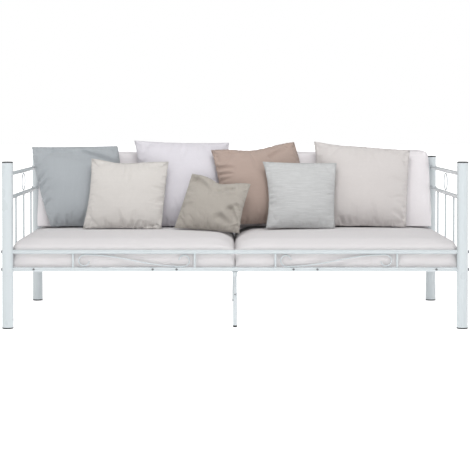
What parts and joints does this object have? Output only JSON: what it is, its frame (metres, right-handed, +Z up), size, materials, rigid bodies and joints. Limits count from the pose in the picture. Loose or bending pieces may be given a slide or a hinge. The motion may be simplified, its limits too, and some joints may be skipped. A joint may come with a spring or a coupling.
{
  "type": "daybed",
  "caption": "Metal daybed with round posts, scroll and ring ornaments and a slat base, with seat cushions, back cushions and throw pillows.",
  "frame": {"origin": "on the floor under the middle of the bed, halfway between the posts both ways", "axes": "+X along the length to the viewer's right, +Y towards the back, +Z up; the open front faces -Y"},
  "size_m": [2.0976, 0.971, 0.8325],
  "materials": {
    "powder_coat": "satin",
    "black_plastic": "satin",
    "dark_steel": "satin",
    "seat_fabric": "matte",
    "back_fabric": "matte",
    "grey_blue_fabric": "matte",
    "cream_fabric": "matte",
    "lavender_fabric": "matte",
    "olive_fabric": "matte",
    "taupe_fabric": "matte",
    "light_grey_fabric": "matte",
    "beige_fabric": "matte"
  },
  "bodies": {
    "frame": {"post_front_left": "powder_coat", "post_front_right": "powder_coat", "post_back_left": "powder_coat", "post_back_right": "powder_coat", "arm_top_rail_left": "powder_coat", "arm_mid_rail_left": "powder_coat", "arm_lower_rail_left": "powder_coat", "arm_spindle_left_front": "powder_coat", "arm_spindle_left_middle": "powder_coat", "arm_spindle_left_back": "powder_coat", "arm_ring_left": "powder_coat", "arm_top_rail_right": "powder_coat", "arm_mid_rail_right": "powder_coat", "arm_lower_rail_right": "powder_coat", "arm_spindle_right_front": "powder_coat", "arm_spindle_right_middle": "powder_coat", "arm_spindle_right_back": "powder_coat", "arm_ring_right": "powder_coat", "front_upper_rail": "powder_coat", "front_lower_rail": "powder_coat", "back_top_rail": "powder_coat", "back_spindle_rail": "powder_coat", "back_seat_rail": "powder_coat", "back_lower_rail": "powder_coat", "back_ring_left": "powder_coat", "back_ring_centre": "powder_coat", "back_ring_right": "powder_coat", "front_scroll_left": "powder_coat", "front_scroll_right": "powder_coat", "slat_panel_left": "powder_coat", "slat_panel_centre": "powder_coat", "slat_panel_right": "powder_coat", "centre_beam": "powder_coat", "centre_leg_front": "powder_coat", "centre_leg_back": "powder_coat", "top_cap_front_left": "black_plastic", "top_cap_front_right": "black_plastic", "top_cap_back_left": "black_plastic", "top_cap_back_right": "black_plastic", "foot_cap_front_left": "black_plastic", "foot_cap_front_right": "black_plastic", "foot_cap_back_left": "black_plastic", "foot_cap_back_right": "black_plastic", "centre_foot_front": "black_plastic", "centre_foot_back": "black_plastic", "rail_bolt_left_upper": "dark_steel", "rail_bolt_left_lower": "dark_steel", "rail_bolt_right_upper": "dark_steel", "rail_bolt_right_lower": "dark_steel"},
    "seat_cushions": {"seat_cushion_left": "seat_fabric", "seat_cushion_right": "seat_fabric"},
    "back_cushion_left": {"back_cushion_left": "back_fabric"},
    "back_cushion_right": {"back_cushion_right": "back_fabric"},
    "pillow_grey_blue": {"pillow_grey_blue": "grey_blue_fabric"},
    "pillow_cream": {"pillow_cream": "cream_fabric"},
    "pillow_lavender": {"pillow_lavender": "lavender_fabric"},
    "pillow_olive": {"pillow_olive": "olive_fabric"},
    "pillow_taupe": {"pillow_taupe": "taupe_fabric"},
    "pillow_light_grey": {"pillow_light_grey": "light_grey_fabric"},
    "pillow_beige": {"pillow_beige": "beige_fabric"}
  },
  "joints": [
    {"name": "seat_lift", "type": "slide", "parent": "frame", "child": "seat_cushions", "axis": [0, 0, 1], "range_m": [0, 0.5]},
    {"name": "back_cushion_left_lift", "type": "slide", "parent": "seat_cushions", "child": "back_cushion_left", "axis": [0, 0.2924, 0.9563], "range_m": [0, 0.45]},
    {"name": "back_cushion_right_lift", "type": "slide", "parent": "seat_cushions", "child": "back_cushion_right", "axis": [0, 0.2924, 0.9563], "range_m": [0, 0.45]},
    {"name": "pillow_grey_blue_lift", "type": "slide", "parent": "seat_cushions", "child": "pillow_grey_blue", "axis": [0, 0.2924, 0.9563], "range_m": [0, 0.45]},
    {"name": "pillow_cream_lift", "type": "slide", "parent": "seat_cushions", "child": "pillow_cream", "axis": [0, 0.2924, 0.9563], "range_m": [0, 0.45]},
    {"name": "pillow_lavender_lift", "type": "slide", "parent": "seat_cushions", "child": "pillow_lavender", "axis": [0, 0.2924, 0.9563], "range_m": [0, 0.45]},
    {"name": "pillow_olive_lift", "type": "slide", "parent": "seat_cushions", "child": "pillow_olive", "axis": [0, 0.2924, 0.9563], "range_m": [0, 0.45]},
    {"name": "pillow_taupe_lift", "type": "slide", "parent": "seat_cushions", "child": "pillow_taupe", "axis": [0, 0.2924, 0.9563], "range_m": [0, 0.45]},
    {"name": "pillow_light_grey_lift", "type": "slide", "parent": "seat_cushions", "child": "pillow_light_grey", "axis": [0, 0.2924, 0.9563], "range_m": [0, 0.45]},
    {"name": "pillow_beige_lift", "type": "slide", "parent": "seat_cushions", "child": "pillow_beige", "axis": [0, 0.2924, 0.9563], "range_m": [0, 0.45]}
  ]
}
